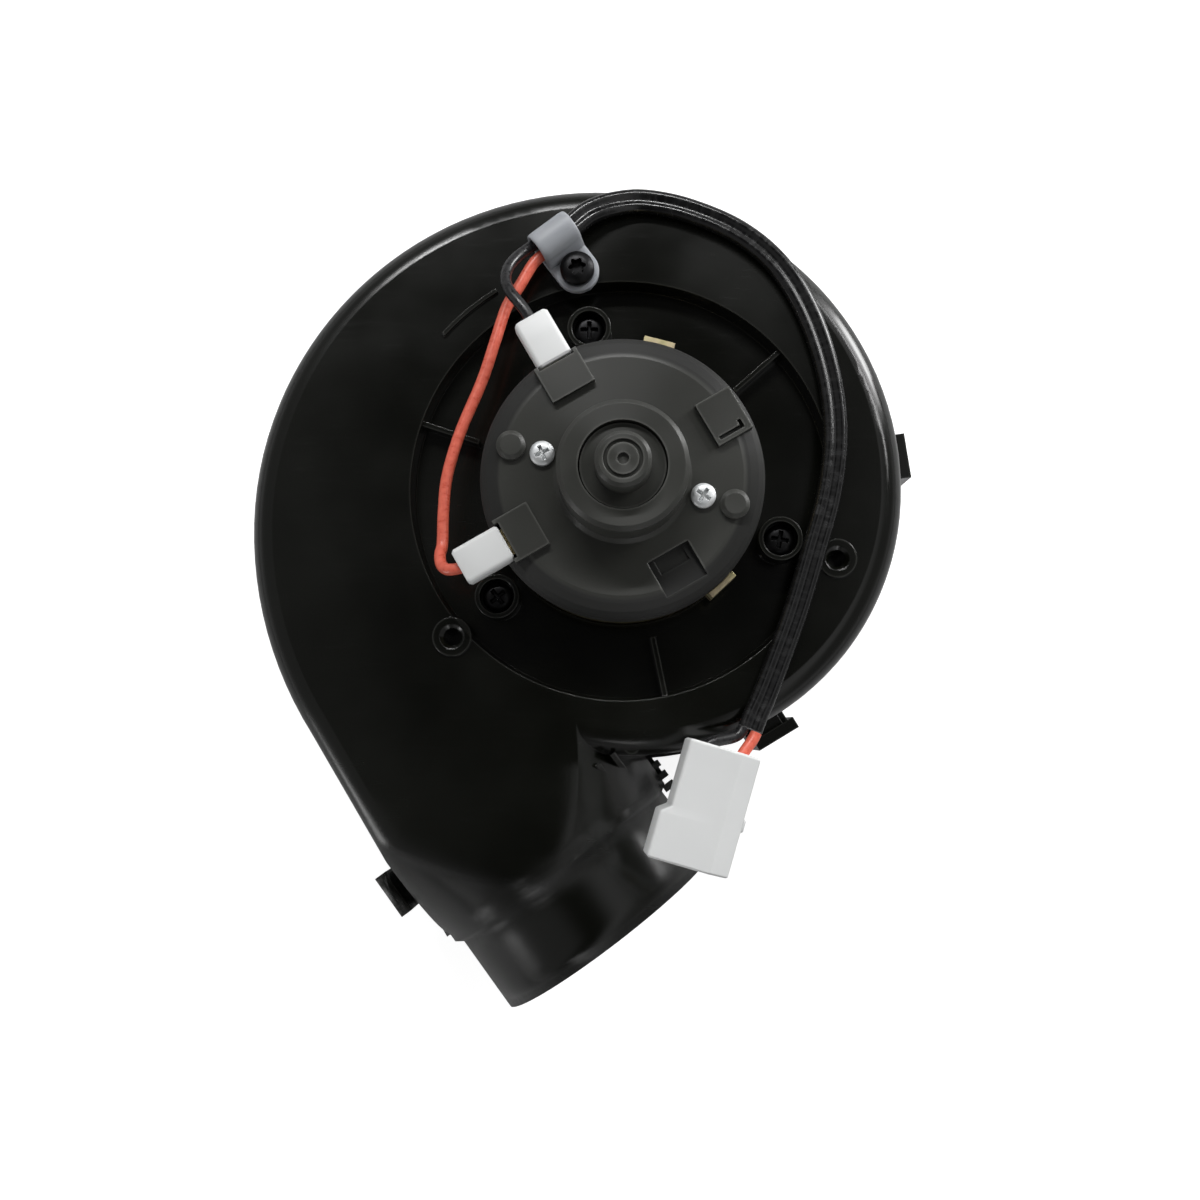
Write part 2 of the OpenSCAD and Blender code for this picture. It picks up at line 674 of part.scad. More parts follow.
cable_route = [
    clip_spot(0.2, 0), clip_spot(2, 0), clip_spot(5.4, 0), [-7.2, 63.6, low + 2],
    [-1.6, 66, low + 0.8], [5.6, 66.8, low], [15.6, 64.6, low], [27, 59.4, low],
    [36.1, 51.4, low], [42.7, 40.1, low], [47, 26.2, low], [48.4, 12.4, low],
    [46.8, -1.3, low + 0.2], [43, -14.6, low + 0.5], [38.8, -28.3, low], [33.8, -41.6, low],
    [31.2, -48, low], [29.7, -51.2, low + 0.25], [28.3, -54.6, low + 0.65]];
plug_top = [22.25, -58.75, scroll_depth + 4];
plug_turn = [0, 4.5, -16.4];
cable_stop = cable_route[len(cable_route) - 1];
cable_aim = unit(cable_stop - cable_route[len(cable_route) - 2]);
cable_side = unit(cross([0, 0, 1], cable_aim));
function tail_spot(side, along) = cable_stop + along * cable_aim + side * (cable_t / 2 + 0.1) * cable_side;
module red_lead() {
    color([0.8, 0.12, 0.08]) sweep(smooth(red_route, 3), round_section(lead_d / 2, 10), [0, 0, 1]);
}
module black_lead() {
    color([0.04, 0.04, 0.04]) sweep(smooth(black_route, 3), round_section(lead_d / 2, 10), [0, 0, 1]);
}
module cable() {
    color([0.04, 0.04, 0.04]) sweep(smooth(cable_route, 4), twin_section(cable_t), [0, 0, 1]);
}

// Plug: local y runs along it, mouth at the far end, wires at y = 0.
module plug_frame() {
    translate(plug_top) rotate(plug_turn) children();
}
function turn_x(v, a) = [v[0], v[1] * cos(a) - v[2] * sin(a), v[1] * sin(a) + v[2] * cos(a)];
function turn_y(v, a) = [v[0] * cos(a) + v[2] * sin(a), v[1], v[2] * cos(a) - v[0] * sin(a)];
function turn_z(v, a) = [v[0] * cos(a) - v[1] * sin(a), v[0] * sin(a) + v[1] * cos(a), v[2]];
function plug_spot(v) = plug_top + turn_z(turn_y(turn_x(v, plug_turn[0]), plug_turn[1]), plug_turn[2]);
way = plug_w / 4;
function bow(a, b, c, d, t) =
    a * pow(1 - t, 3) + 3 * b * t * pow(1 - t, 2) + 3 * c * t * t * (1 - t) + d * pow(t, 3);
// Each tail bows from the end of the sleeve into its way of the plug; ease gives how far it runs straight on.
tail_ease = [[4.5, 5], [3, 3.5]];
tail_in = 2.6;
function tail_route(side) = let (e = tail_ease[(side + 1) / 2]) concat(
    [for (k = [0:10]) bow(tail_spot(side, 0.3), tail_spot(side, 0.3 + e[0]), plug_spot([side * way, e[1] - tail_in, 0]),
        plug_spot([side * way, -tail_in, 0]), k / 10)],
    [plug_spot([side * way, -tail_in - 1.6, 0])]);
module tail(side) {
    sweep(tail_route(side), round_section(lead_d / 2, 10), [0, 0, 1]);
}
module red_tail() {
    color([0.8, 0.12, 0.08]) tail(1);
}
module black_tail() {
    color([0.04, 0.04, 0.04]) tail(-1);
}
module plug_housing() {
    color([0.93, 0.93, 0.91])
    plug_frame()
        difference() {
            union() {
                // Body with one sloping third, a step along the mouth end, and a side key.
                rotate([90, 0, 0]) linear_extrude(plug_len) polygon([
                    [-plug_w / 2, -plug_t / 2], [plug_w / 2, -plug_t / 2], [plug_w / 2, plug_t / 2 - 2.6],
                    [plug_w / 2 - 4.5, plug_t / 2], [-plug_w / 2, plug_t / 2]]);
                translate([-plug_w / 2, -plug_len, -plug_t / 2]) linear_extrude(plug_t) polygon([
                    [-2.1, 0], [1, 0], [1, plug_len * 0.44], [0, plug_len * 0.44], [-2.1, plug_len * 0.44 - 1.6]]);
                translate([plug_w / 2 - 0.5, -plug_len * 0.62, -1.5]) cube([1.2, 3, 3]);
            }
            for (s = [-1, 1]) translate([s * way, 0, 0]) {
                translate([0, 1, 0]) rotate([90, 0, 0]) cylinder(r = lead_d / 2 + 0.4, h = plug_len + 2);
                translate([0, 0.1, 0]) rotate([90, 0, 0])
                    cylinder(r1 = lead_d / 2 + 1.8, r2 = lead_d / 2 + 0.4, h = tail_in + 0.5);
                translate([-3.6, -plug_len - 1, -2]) cube([7.2, plug_len - 6, 4]);
            }
        }
}
module plug_contacts() {
    color([0.85, 0.72, 0.4])
    plug_frame()
        for (s = [-1, 1]) translate([s * way, 0, 0])
            difference() {
                translate([-3.4, -plug_len + 2, -1.2]) cube([6.8, plug_len - 9.5, 2.4]);
                translate([-3, -plug_len + 1, -0.5]) cube([6, plug_len - 11, 1]);
            }
}

// Rotor: everything below turns together on the motor axis.
core_r = can_r - can_wall - 6.8;
core_z0 = can_z0 + 8;
comm_z0 = core_z0 + core_h + 4;
module shaft() {
    color([0.75, 0.75, 0.77])
    translate([0, 0, shaft_z0]) cylinder(r = shaft_r, h = boss_z - 5.6 - shaft_z0);
}
module armature_core() {
    color([0.45, 0.45, 0.47])
    translate([0, 0, core_z0])
        difference() {
            cylinder(r = core_r, h = core_h);
            translate([0, 0, -1]) cylinder(r = shaft_r, h = core_h + 2);
            for (a = [0:30:330]) rotate([0, 0, a]) {
                block(core_r - 3, core_r + 2, 1.6, -1, core_h + 1);
                translate([core_r - 5.4, 0, -1]) cylinder(r = 2.6, h = core_h + 2);
            }
        }
}
module windings() {
    color([0.62, 0.3, 0.14]) {
        for (z = [core_z0 - 4, core_z0 + core_h])
            translate([0, 0, z])
                rotate_extrude() translate([shaft_r + 2, 0])
                    round_rect(core_r - shaft_r - 4, 4, 1.2, $fn = 32);
        for (a = [0:30:330])
            polar(core_r - 5.4, a) translate([0, 0, core_z0 - 0.5]) cylinder(r = 2.3, h = core_h + 1);
    }
}
module commutator() {
    color([0.72, 0.42, 0.22])
    translate([0, 0, comm_z0])
        difference() {
            union() {
                cylinder(r = brush_in - 0.1, h = 8.6);
                cylinder(r = brush_in + 1.2, h = 1.1);
            }
            translate([0, 0, -1]) cylinder(r = shaft_r, h = 20);
            for (a = [0:30:330]) rotate([0, 0, a + 15]) block(brush_in - 1.2, brush_in + 3, 0.5, -1, 20);
        }
}
module thrust_washers() {
    color([0.8, 0.76, 0.6])
    for (z = [can_z0 + 3.1, boss_z - 13.9]) translate([0, 0, z]) tube(bearing_r - 0.6, shaft_r, 0.8);
}
module fan_wheel() {
    hub_r = shaft_r + 5;
    color([0.09, 0.09, 0.09])
    difference() {
        union() {
            // Hub, plate and dome round the motor can.
            translate([0, 0, hub_z0]) cylinder(r = hub_r, h = plate_z - hub_z0 + 1);
            rotate_extrude() polygon([
                [shaft_r, plate_z - 2], [can_r + 2, plate_z - 2], [can_r + 5.4, plate_z + 3],
                [can_r + 7, plate_z + 9], [wheel_r - blade_depth - 1.6, wheel_z1 - 1.8],
                [wheel_r, wheel_z1 - 1.8], [wheel_r, wheel_z1],
                [wheel_r - blade_depth - 3, wheel_z1], [can_r + 5, plate_z + 9.4], [can_r + 3.8, plate_z + 4],
                [can_r + 1.2, plate_z], [shaft_r, plate_z]]);
            for (a = [0:60:300]) rotate([0, 0, a]) block(hub_r - 1, can_r, 1.4, plate_z - 5, plate_z - 1);
        }
        translate([0, 0, 1]) cylinder(r = shaft_r, h = 60);
    }
}
module blade_ring() {
    blade_h = wheel_z1 - 1.8 - wheel_z0;
    color([0.09, 0.09, 0.09]) {
        translate([0, 0, wheel_z0]) tube(wheel_r, wheel_r - 1.8, 3);
        // Forward-curved blades cut from short tubes; they stand on the plate of the wheel.
        intersection() {
            translate([0, 0, wheel_z0]) tube(wheel_r - 0.2, wheel_r - blade_depth, blade_h);
            for (i = [0:blade_count - 1])
                rotate([0, 0, i * 360 / blade_count])
                    translate([wheel_r - blade_depth / 2 + 1.6, -blade_depth * 0.72, wheel_z0 - 1])
                        intersection() {
                            tube(blade_depth * 0.75, blade_depth * 0.75 - blade_t, blade_h + 2);
                            translate([-20, 0, 0]) cube([40, 20, 60]);
                        }
        }
    }
}
module wheel_clip() {
    color([0.72, 0.72, 0.74])
    translate([0, 0, wheel_clip_z]) tube(shaft_r + 3, shaft_r, hub_z0 - wheel_clip_z);
}

rear_housing();
front_housing();
motor_can();
motor_flange();
magnets();
front_bearing();
end_cap();
rear_bearing();
bearing_cap();
brush_holders();
brushes();
brush_springs();
spade_terminals();
receptacles();
terminal_sleeves();
cap_screws();
cap_plugs();
motor_screws();
p_clip();
p_clip_screw();
red_lead();
black_lead();
cable();
red_tail();
black_tail();
plug_housing();
plug_contacts();
shaft();
armature_core();
windings();
commutator();
thrust_washers();
fan_wheel();
blade_ring();
wheel_clip();
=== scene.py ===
import bpy
import numpy as np
from mathutils import Matrix


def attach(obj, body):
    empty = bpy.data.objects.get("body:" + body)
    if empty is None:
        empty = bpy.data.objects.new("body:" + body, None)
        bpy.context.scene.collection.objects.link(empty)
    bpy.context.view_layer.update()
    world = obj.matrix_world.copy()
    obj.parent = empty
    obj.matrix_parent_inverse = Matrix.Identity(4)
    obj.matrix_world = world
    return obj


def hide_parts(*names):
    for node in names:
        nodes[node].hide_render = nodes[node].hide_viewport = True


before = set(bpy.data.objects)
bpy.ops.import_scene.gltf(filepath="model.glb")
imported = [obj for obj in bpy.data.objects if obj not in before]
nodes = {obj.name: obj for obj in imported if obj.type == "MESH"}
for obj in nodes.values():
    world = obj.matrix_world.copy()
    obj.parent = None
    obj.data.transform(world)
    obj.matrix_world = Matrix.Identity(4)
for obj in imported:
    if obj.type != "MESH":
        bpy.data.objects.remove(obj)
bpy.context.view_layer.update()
MM = 0.001


# Sizes repeated from the part's source, in millimetres and degrees.
CAN_R, CAN_TOP, CAP_Z, DEPTH, LEAD, CABLE = 30.5, 70.0, 79.0, 64.0, 2.6, 2.8
TERM_Z = CAP_Z - 1.2
TERMS = (120.0, 210.0)
CAP_SCREW_R, CAP_SCREWS = 18, (165, 345)
MOTOR_SCREW_R, MOUNT_R, SCREW_ANGLES = 37.6, 51.2, (101.5, 221.5, 341.5)
CLIP_Z, CLIP_T, CLIP_TURN, CLIP_REACH, CLIP_HALF = DEPTH + 0.6, 0.9, 127.0, 8.6, 5
WIRE_Z = CLIP_Z + CLIP_T + CABLE * 0.95
PLUG_TOP, PLUG_TURN, PLUG_LEN, PLUG_W, TAIL_IN = (22.25, -58.75, DEPTH + 4), (0, 4.5, -16.4), 27.0, 16.5, 2.6
PLUG_HALF, PLUG_FOOT, PLUG_RISE, PLUG_SLOPE, WAY = PLUG_W / 2, 10.35, 5.0, (4.5, 2.6), PLUG_W / 4


# Camera: above the motor and a little to the outlet side, as the photograph was taken.
def look(name, place, target, up, lens):
    """A camera whose back axis is place minus target, its right axis up crossed with back."""
    place, target, up = (np.array(v, float) * MM for v in (place, target, up))
    back = (place - target) / np.linalg.norm(place - target)
    right = np.cross(up, back)
    right /= np.linalg.norm(right)
    data = bpy.data.cameras.new(name)
    data.lens, data.sensor_width, data.clip_start = lens, 36.0, 0.01
    camera = bpy.data.objects.new(name, data)
    turn = np.eye(4)
    turn[:3, :4] = np.stack([right, np.cross(back, right), back, place], axis=1)
    camera.matrix_world = Matrix(turn.tolist())
    bpy.context.scene.collection.objects.link(camera)
    bpy.context.scene.camera = camera


CAMERA_PLACE, CAMERA_TARGET, CAMERA_LENS = (-2, -55, 360.4), (-5.36, -22.47, 32), 39.6
look("photo_camera", CAMERA_PLACE, CAMERA_TARGET, (0, 1, 0), CAMERA_LENS)


# Surfaces on grids.
def skin(name, rings, ends=True, wrap=True, sharp=35, size=(1.0, 1.0)):
    """A mesh through an array of rings, each ring point joined to the next one and to the next ring's.

    rings is rows by columns by three, in millimetres. The UV map is the share round the ring times the
    first size, and the share along the rings times the second. ends closes the first and last ring.
    """
    rings = np.asarray(rings, float)
    n, m = rings.shape[:2]
    i, j = np.meshgrid(np.arange(n - 1), np.arange(m if wrap else m - 1), indexing="ij")
    i, j = i.ravel(), j.ravel()
    k = (j + 1) % m
    quads = np.stack([i * m + j, i * m + k, (i + 1) * m + k, (i + 1) * m + j], axis=1)
    faces = quads.tolist()
    if ends:
        faces += [np.arange(m)[::-1].tolist(), (np.arange(m) + (n - 1) * m).tolist()]
    mesh = bpy.data.meshes.new(name)
    mesh.from_pydata((rings.reshape(-1, 3) * MM).tolist(), [], faces)
    u = np.stack([j, j + 1, j + 1, j], axis=1) / (m if wrap else m - 1) * size[0]
    v = np.stack([i, i, i + 1, i + 1], axis=1) / (n - 1) * size[1]
    spread = np.zeros((len(mesh.loops), 2))
    spread[: 4 * len(quads)] = np.stack([u.ravel(), v.ravel()], axis=1)
    mesh.uv_layers.new(name="grain").data.foreach_set("uv", spread.ravel())
    mesh.polygons.foreach_set("use_smooth", np.ones(len(mesh.polygons), bool))
    mesh.set_sharp_from_angle(angle=np.radians(sharp))
    mesh.validate()
    piece = bpy.data.objects.new(name, mesh)
    bpy.context.scene.collection.objects.link(piece)
    return piece


def turned(points, angles, place):
    """Points turned about X, then Y, then Z by angles in degrees, then moved to place."""
    a, b, c = np.radians(angles)
    x = np.array([[1, 0, 0], [0, np.cos(a), -np.sin(a)], [0, np.sin(a), np.cos(a)]])
    y = np.array([[np.cos(b), 0, np.sin(b)], [0, 1, 0], [-np.sin(b), 0, np.cos(b)]])
    z = np.array([[np.cos(c), -np.sin(c), 0], [np.sin(c), np.cos(c), 0], [0, 0, 1]])
    return np.asarray(points, float) @ (z @ y @ x).T + np.asarray(place, float)


def flowing(points, steps):
    """Catmull-Rom curve: each stretch is the cubic through its two points with the chord slopes."""
    p = np.asarray(points, float)
    p = np.vstack([p[:1], p, p[-1:]])
    i = np.arange(len(p) - 3)
    a, b, c, d = (p[i + k][:, None, :] for k in range(4))
    t = (np.arange(steps) / steps)[None, :, None]
    q = 0.5 * (2 * b + (c - a) * t + (2 * a - 5 * b + 4 * c - d) * t**2 + (3 * b - a - 3 * c + d) * t**3)
    return np.vstack([q.reshape(-1, 3), p[-1:]])


def even(path, count):
    """The path's points respaced to equal steps of arc length."""
    s = np.concatenate([[0], np.cumsum(np.linalg.norm(np.diff(path, axis=0), axis=1))])
    want = np.linspace(0, s[-1], count)
    return np.stack([np.interp(want, s, path[:, k]) for k in range(3)], axis=1)


def carried(path, section, up=(0, 0, 1)):
    """A flat section carried along a path: side is up crossed with heading, rise is heading crossed with side."""
    path, section = np.asarray(path, float), np.asarray(section, float)
    t = np.gradient(path, axis=0)
    t /= np.linalg.norm(t, axis=1)[:, None]
    s = np.cross(np.asarray(up, float), t)
    s /= np.linalg.norm(s, axis=1)[:, None]
    r = np.cross(t, s)
    if section.ndim == 2:
        section = np.broadcast_to(section, (len(path), *section.shape))
    return path[:, None, :] + section[..., :1] * s[:, None, :] + section[..., 1:] * r[:, None, :]


def circle(radius, count):
    """Points at equal angles on a circle."""
    t = np.linspace(0, 2 * np.pi, count, endpoint=False)
    return radius * np.stack([np.cos(t), np.sin(t)], axis=1)


def rounded(half_x, half_y, radius, corner=6):
    """A rectangle with round corners: four quarter circles on the corners of the inner rectangle."""
    t = np.linspace(0, np.pi / 2, corner)[None, :] + (np.arange(4) * np.pi / 2)[:, None]
    sx, sy = np.array([1, -1, -1, 1])[:, None], np.array([1, 1, -1, -1])[:, None]
    x = sx * (half_x - radius) + radius * np.cos(t)
    y = sy * (half_y - radius) + radius * np.sin(t)
    return np.stack([x.ravel(), y.ravel()], axis=1)


def lofted(stations, corner=6):
    """Rounded rectangles set one behind another along Y: each row is y, middle x, middle z, half sizes, radius."""
    rows = []
    for y, x, z, half_x, half_z, radius in stations:
        r = rounded(half_x, half_z, radius, corner)
        rows.append(np.stack([x + r[:, 0], np.full(len(r), y), z + r[:, 1]], axis=1))
    return np.array(rows)


# Finishes.
def finish(name, colour, rough, metal=0.0, **sockets):
    """A principled surface with its fixed numbers set on the shader's own sockets."""
    mat = bpy.data.materials.new(name)
    mat.use_nodes = True
    mat.diffuse_color = (*colour, 1)
    shader = mat.node_tree.nodes["Principled BSDF"]
    shader.inputs["Base Color"].default_value = (*colour, 1)
    shader.inputs["Roughness"].default_value = rough
    shader.inputs["Metallic"].default_value = metal
    for key, value in sockets.items():
        shader.inputs[key.replace("_", " ")].default_value = value
    return mat


def node(mat, kind, **values):
    """A node with its settings, and with its sockets where a value's name is a socket's."""
    made = mat.node_tree.nodes.new(kind)
    for key, value in values.items():
        if hasattr(made, key) and key not in ("color", "height", "width"):
            setattr(made, key, value)
        else:
            made.inputs[key.replace("_", " ")].default_value = value
    return made


def join(mat, a, b):
    """A link from an output to an input."""
    mat.node_tree.links.new(a, b)


def spots(mat, scale, detail=2.0, rough=0.5, stretch=(1, 1, 1), source="Object", **more):
    """Noise over object or UV coordinates, stretched along the axes."""
    where = node(mat, "ShaderNodeTexCoord")
    lay = node(mat, "ShaderNodeMapping")
    lay.inputs["Scale"].default_value = stretch
    made = node(mat, "ShaderNodeTexNoise", Scale=scale, Detail=detail, Roughness=rough, **more)
    join(mat, where.outputs[source], lay.inputs["Vector"])
    join(mat, lay.outputs["Vector"], made.inputs["Vector"])
    return made.outputs["Fac"]


def between(mat, fac, low, high, start=0.35, stop=0.65):
    """A number that runs from low to high as fac runs from start to stop."""
    made = node(mat, "ShaderNodeMapRange", interpolation_type="SMOOTHSTEP")
    for k, value in (("From Min", start), ("From Max", stop), ("To Min", low), ("To Max", high)):
        made.inputs[k].default_value = value
    join(mat, fac, made.inputs["Value"])
    return made.outputs["Result"]


def shades(mat, fac, *stops):
    """A colour that runs through the stops, each a place and a colour."""
    ramp = node(mat, "ShaderNodeValToRGB")
    while len(ramp.color_ramp.elements) < len(stops):
        ramp.color_ramp.elements.new(0.5)
    for element, (place, colour) in zip(ramp.color_ramp.elements, stops):
        element.position, element.color = place, (*colour, 1)
    join(mat, fac, ramp.inputs["Fac"])
    return ramp.outputs["Color"]


def added(mat, a, b, how="ADD"):
    """Two numbers joined by one sum, product or other arithmetic."""
    made = node(mat, "ShaderNodeMath", operation=how)
    for k, value in enumerate((a, b)):
        if isinstance(value, (int, float)):
            made.inputs[k].default_value = value
        else:
            join(mat, value, made.inputs[k])
    return made.outputs[0]


def relief(mat, height, depth, strength=1.0, soft_edge=0.0):
    """A bump of so many millimetres from a height between 0 and 1, over edges softened by a small radius."""
    bump = node(mat, "ShaderNodeBump", Strength=strength, Distance=depth * MM)
    join(mat, height, bump.inputs["Height"])
    if soft_edge:
        edge = node(mat, "ShaderNodeBevel", samples=4, Radius=soft_edge * MM)
        join(mat, edge.outputs["Normal"], bump.inputs["Normal"])
    join(mat, bump.outputs["Normal"], mat.node_tree.nodes["Principled BSDF"].inputs["Normal"])


def feed(mat, **links):
    """Links to the shader's sockets by name."""
    shader = mat.node_tree.nodes["Principled BSDF"]
    for key, value in links.items():
        join(mat, value, shader.inputs[key.replace("_", " ")])
    return mat


# Reach of the painted edge highlight, in millimetres.
EDGE_HIGHLIGHT_REACH = 0.7


def moulded(name, dark, light, rough_low, rough_high, grain, grain_depth, edge, edge_highlight=None, **sockets):
    """Moulded plastic: slow patches of gloss, fine rubbed streaks, a fine grain and soft edges.

    Where a paler edge colour is given, convex edges take it as a painted highlight: rays sent inwards find the surface
    again there.
    """
    mat = finish(name, light, (rough_low + rough_high) / 2, **sockets)
    slow = spots(mat, 24, 3.0)
    rubbed = between(mat, spots(mat, 90, 4.0, 0.65, (1, 9, 1)), 0.0, 0.03, 0.55, 0.75)
    colour = shades(mat, slow, (0.35, dark), (0.7, light))
    # Painted highlight: convex edges are mixed towards the paler edge colour.
    if edge_highlight:
        inward = node(mat, "ShaderNodeAmbientOcclusion", samples=8, inside=True, only_local=True,
                      Distance=EDGE_HIGHLIGHT_REACH * MM)
        mix = node(mat, "ShaderNodeMix", data_type="RGBA")
        join(mat, between(mat, inward.outputs["AO"], 1.0, 0.0, 0.62, 0.9), mix.inputs["Factor"])
        join(mat, colour, mix.inputs[6])
        mix.inputs[7].default_value = (*edge_highlight, 1)
        colour = mix.outputs[2]
    feed(mat, Base_Color=colour)
    feed(mat, Roughness=added(mat, between(mat, slow, rough_low, rough_high, 0.3, 0.7), rubbed))
    relief(mat, spots(mat, grain, 2.0, 0.6), grain_depth, 1.0, edge)
    return mat


# The last colour given to the housing and to the cap is the paler colour of their painted edge highlight.
housing_black = moulded("housing_gloss_black", (0.0014, 0.0016, 0.0008), (0.0028, 0.0032, 0.0017),
                        0.15, 0.27, 420, 0.004, 0.35, (0.016, 0.0165, 0.014))
cap_black = moulded("cap_satin_black", (0.024, 0.0247, 0.0212), (0.037, 0.0377, 0.0330),
                    0.36, 0.48, 1900, 0.012, 0.3, (0.075, 0.076, 0.069))
wheel_black = moulded("wheel_satin_black", (0.012, 0.012, 0.013), (0.022, 0.022, 0.024),
                      0.42, 0.58, 1300, 0.01, 0.15)
white_nylon = moulded("white_nylon", (0.71, 0.72, 0.717), (0.785, 0.795, 0.792), 0.40, 0.52, 700, 0.006, 0.25,
                      Subsurface_Weight=0.2, Subsurface_Scale=0.002, Subsurface_Radius=(1, 1, 1))
clip_nylon = moulded("natural_nylon", (0.27, 0.285, 0.31), (0.35, 0.365, 0.39), 0.36, 0.48, 500, 0.008, 0.2,
                     Subsurface_Weight=0.3, Subsurface_Scale=0.003, Subsurface_Radius=(1, 1, 1))


def turned_mould(mat, strength):
    """Rings left by a turned mould: the gloss is drawn out across them, round the motor axis."""
    shader = mat.node_tree.nodes["Principled BSDF"]
    shader.inputs["Anisotropic"].default_value = strength
    shader.inputs["Anisotropic Rotation"].default_value = 0.25
    tangent = node(mat, "ShaderNodeTangent", direction_type="RADIAL", axis="Z")
    join(mat, tangent.outputs[0], shader.inputs["Tangent"])


# The outlet neck's soft region, in metres: along its axis, to its side, clear of its gussets and of the motor recess.
OUTLET_ALONG, ALONG_FROM, ALONG_FULL = (0.595, -0.804, 0), 0.018, 0.030
OUTLET_SIDE, SIDE_FROM, SIDE_FULL = (-0.804, -0.595, 0), 0.027, 0.033
GUSSETS, GUSSET_FROM, GUSSET_FULL = (-0.001, -0.066, 0.060), 0.007, 0.012
RECESS_FROM, RECESS_FULL = 0.061, 0.066
SOFT_CREASE = 7.0


def eased_outlet(mat):
    """Softens the creases of the outlet neck: wide round edges inside the region above, fine ones elsewhere."""
    place = node(mat, "ShaderNodeTexCoord").outputs["Object"]
    shares = []
    for axis, start, stop in ((OUTLET_ALONG, ALONG_FROM, ALONG_FULL), (OUTLET_SIDE, SIDE_FROM, SIDE_FULL)):
        along = node(mat, "ShaderNodeVectorMath", operation="DOT_PRODUCT")
        join(mat, place, along.inputs[0])
        along.inputs[1].default_value = axis
        shares.append(between(mat, along.outputs["Value"], 0.0, 1.0, start, stop))
    wide = node(mat, "ShaderNodeBevel", samples=16, Radius=SOFT_CREASE * MM)
    fine = next(n for n in mat.node_tree.nodes if n.bl_idname == "ShaderNodeBevel" and n != wide)
    bump = next(n for n in mat.node_tree.nodes if n.bl_idname == "ShaderNodeBump")
    mix = node(mat, "ShaderNodeMix", data_type="VECTOR")
    apart = node(mat, "ShaderNodeVectorMath", operation="DISTANCE")
    join(mat, place, apart.inputs[0])
    apart.inputs[1].default_value = GUSSETS
    shares.append(between(mat, apart.outputs["Value"], 0.0, 1.0, GUSSET_FROM, GUSSET_FULL))
    flat = node(mat, "ShaderNodeVectorMath", operation="MULTIPLY")
    join(mat, place, flat.inputs[0])
    flat.inputs[1].default_value = (1, 1, 0)
    off_axis = node(mat, "ShaderNodeVectorMath", operation="LENGTH")
    join(mat, flat.outputs[0], off_axis.inputs[0])
    share = between(mat, off_axis.outputs["Value"], 0.0, 1.0, RECESS_FROM, RECESS_FULL)
    for more in shares:
        share = added(mat, share, more, "MULTIPLY")
    join(mat, share, mix.inputs["Factor"])
    join(mat, fine.outputs["Normal"], mix.inputs[4])
    join(mat, wide.outputs["Normal"], mix.inputs[5])
    join(mat, mix.outputs[1], bump.inputs["Normal"])


def painted_shade_below(mat, height):
    """Painted shade below a height in millimetres, as on the cap's bevel, in its pockets and on the can: a darker base
    colour and a rougher gloss there.
    """
    shader = mat.node_tree.nodes["Principled BSDF"]
    place = node(mat, "ShaderNodeSeparateXYZ")
    join(mat, node(mat, "ShaderNodeTexCoord").outputs["Object"], place.inputs[0])
    low, high = (height - 0.3) * MM, (height - 0.05) * MM
    share = between(mat, place.outputs["Z"], 0.25, 1.0, low, high)
    # Painted shade: the base colour is scaled down below the height.
    dim = node(mat, "ShaderNodeVectorMath", operation="SCALE")
    join(mat, shader.inputs["Base Color"].links[0].from_socket, dim.inputs[0])
    join(mat, share, dim.inputs["Scale"])
    dry = between(mat, place.outputs["Z"], 0.2, 0.0, low, high)
    rough = added(mat, shader.inputs["Roughness"].links[0].from_socket, dry)
    feed(mat, Base_Color=dim.outputs[0], Roughness=rough)


eased_outlet(housing_black)
turned_mould(cap_black, 0.7)
# Painted shade on the cap's bevel and in its pockets.
painted_shade_below(cap_black, CAP_Z)


def plated(name, colours, rough_low, rough_high, streak=(1, 1, 1), edge=0.15):
    """Plated or bare metal: slow shifts of tint, drawn or tumbled streaks in the gloss and the surface."""
    mat = finish(name, colours[1], (rough_low + rough_high) / 2, 1.0)
    tint = spots(mat, 140, 3.0)
    wear = spots(mat, 700, 4.0, 0.6, streak)
    stops = zip(np.linspace(0.3, 0.7, len(colours)).tolist(), colours)
    feed(mat, Base_Color=shades(mat, tint, *stops))
    feed(mat, Roughness=between(mat, wear, rough_low, rough_high, 0.3, 0.7))
    relief(mat, wear, 0.006, 0.6, edge)
    return mat


yellow_zinc = plated("yellow_zinc", [(0.42, 0.37, 0.19), (0.52, 0.47, 0.26), (0.48, 0.40, 0.27), (0.55, 0.51, 0.31)],
                     0.36, 0.56)
# Painted shade on the can's wall, below the top of the can.
painted_shade_below(yellow_zinc, CAN_TOP)
bright_zinc = plated("bright_zinc", [(0.60, 0.63, 0.64), (0.73, 0.74, 0.74), (0.66, 0.69, 0.71)], 0.48, 0.68)
ground_steel = plated("ground_steel", [(0.50, 0.50, 0.51), (0.60, 0.60, 0.61)], 0.22, 0.38, (1, 1, 0.06))
black_oxide = plated("black_oxide", [(0.014, 0.014, 0.0145), (0.026, 0.026, 0.027)], 0.32, 0.46)
stamped_brass = plated("stamped_brass", [(0.70, 0.54, 0.26), (0.80, 0.66, 0.36)], 0.22, 0.40)
lamination = plated("lamination_steel", [(0.34, 0.34, 0.35), (0.46, 0.46, 0.47)], 0.35, 0.55, (0.1, 0.1, 6))
winding_copper = plated("winding_copper", [(0.55, 0.22, 0.08), (0.72, 0.34, 0.14)], 0.22, 0.36, (0.2, 0.2, 5))
bar_copper = plated("bar_copper", [(0.70, 0.38, 0.22), (0.80, 0.46, 0.28)], 0.20, 0.36, (0.3, 0.3, 4))
sintered_bronze = plated("sintered_bronze", [(0.42, 0.28, 0.13), (0.58, 0.42, 0.22)], 0.38, 0.60)
